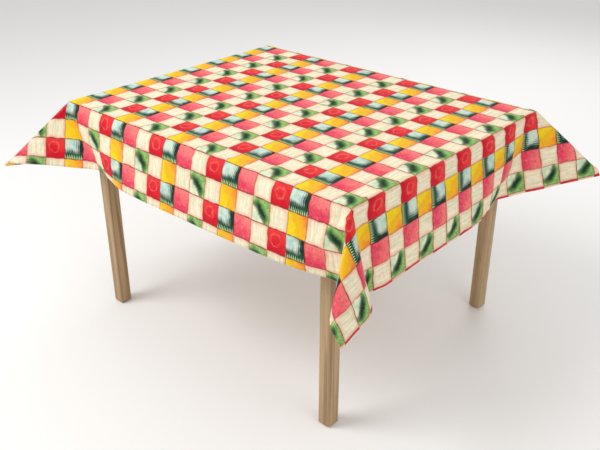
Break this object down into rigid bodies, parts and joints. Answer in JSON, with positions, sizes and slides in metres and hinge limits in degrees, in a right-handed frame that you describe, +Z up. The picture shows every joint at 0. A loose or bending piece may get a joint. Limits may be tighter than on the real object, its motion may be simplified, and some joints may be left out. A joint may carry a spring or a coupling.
{
  "type": "tablecloth on a table",
  "caption": "Printed check tablecloth draped over a rectangular wooden table with square legs, its stiff corners standing out in folds, for covering and dressing the table.",
  "frame": {"origin": "on the floor under the middle of the table", "axes": "+X along the table's long side, -Y towards the front long side, +Z up"},
  "size_m": [1.5397, 1.3282, 0.7615],
  "materials": {
    "printed_cloth": "printed cotton, matt, fruit-coloured check",
    "hem_cloth": "turned-up printed cotton with a stitched line",
    "wood_top": "edge-glued staves, satin oil",
    "wood_leg": "planed light brown wood, straight grain, satin",
    "wood_apron": "planed light brown wood, satin",
    "zinc_steel": "bright zinc plated",
    "glide_plastic": "matt dark plastic"
  },
  "bodies": {
    "table": {"apron_back": "wood_apron", "apron_front": "wood_apron", "apron_left": "wood_apron", "apron_right": "wood_apron", "bracket_screws": "zinc_steel", "centre_rail": "wood_apron", "clip_screws": "zinc_steel", "corner_bracket_back_left": "zinc_steel", "corner_bracket_back_right": "zinc_steel", "corner_bracket_front_left": "zinc_steel", "corner_bracket_front_right": "zinc_steel", "foot_glide_back_left": "glide_plastic", "foot_glide_back_right": "glide_plastic", "foot_glide_front_left": "glide_plastic", "foot_glide_front_right": "glide_plastic", "hanger_bolts": "zinc_steel", "leg_back_left": "wood_leg", "leg_back_right": "wood_leg", "leg_front_left": "wood_leg", "leg_front_right": "wood_leg", "rail_screws": "zinc_steel", "tabletop": "wood_top", "top_clips": "zinc_steel", "washers": "zinc_steel", "wing_nuts": "zinc_steel"},
    "tablecloth": {"cloth_drop_back": "printed_cloth", "cloth_drop_front": "printed_cloth", "cloth_drop_left": "printed_cloth", "cloth_drop_right": "printed_cloth", "cloth_top": "printed_cloth", "corner_fold_back_left_long": "printed_cloth", "corner_fold_back_left_short": "printed_cloth", "corner_fold_back_right_long": "printed_cloth", "corner_fold_back_right_short": "printed_cloth", "corner_fold_front_left_long": "printed_cloth", "corner_fold_front_left_short": "printed_cloth", "corner_fold_front_right_long": "printed_cloth", "corner_fold_front_right_short": "printed_cloth", "hem_back": "hem_cloth", "hem_front": "hem_cloth", "hem_left": "hem_cloth", "hem_right": "hem_cloth"}
  },
  "joints": [
    {"name": "cloth_lift", "type": "slide", "parent": "table", "child": "tablecloth", "axis": [0, 0, 1], "range_m": [0, 0.26]}
  ]
}
